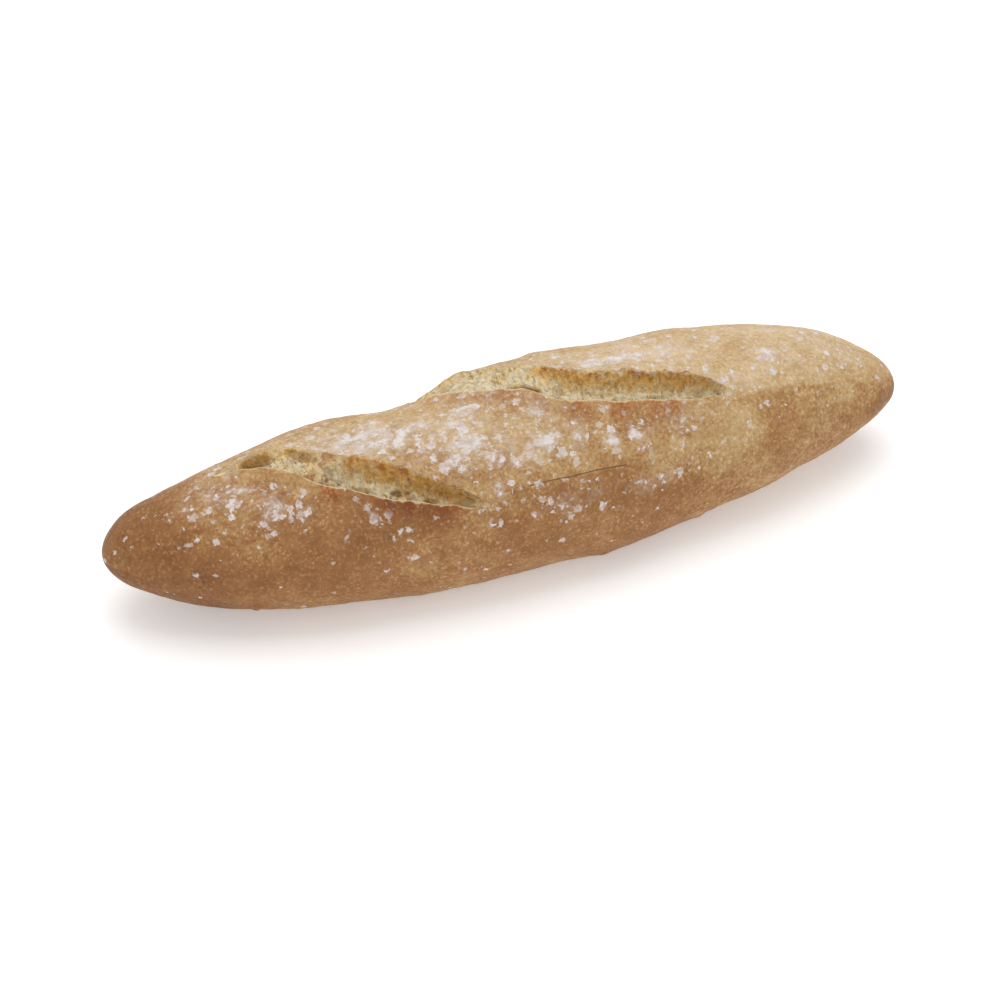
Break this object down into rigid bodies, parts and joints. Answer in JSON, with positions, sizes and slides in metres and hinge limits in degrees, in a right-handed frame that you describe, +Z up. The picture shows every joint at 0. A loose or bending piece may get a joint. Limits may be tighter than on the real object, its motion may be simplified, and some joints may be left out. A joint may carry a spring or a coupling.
{
  "type": "rustic demi baguette",
  "caption": "Short rustic baguette, spindle shaped on a flat foot, with slanting cuts that opened in the oven and a flour dusted crust.",
  "frame": {"origin": "on the surface that the loaf rests on, under the middle of its bounding box", "axes": "+X along the loaf towards its fuller end, -Y towards the side on which the cuts end lower, +Z up from the flat foot"},
  "size_m": [0.26, 0.0734, 0.0537],
  "materials": {
    "crust": null
  },
  "bodies": {
    "root": {"loaf": "crust"}
  },
  "joints": []
}
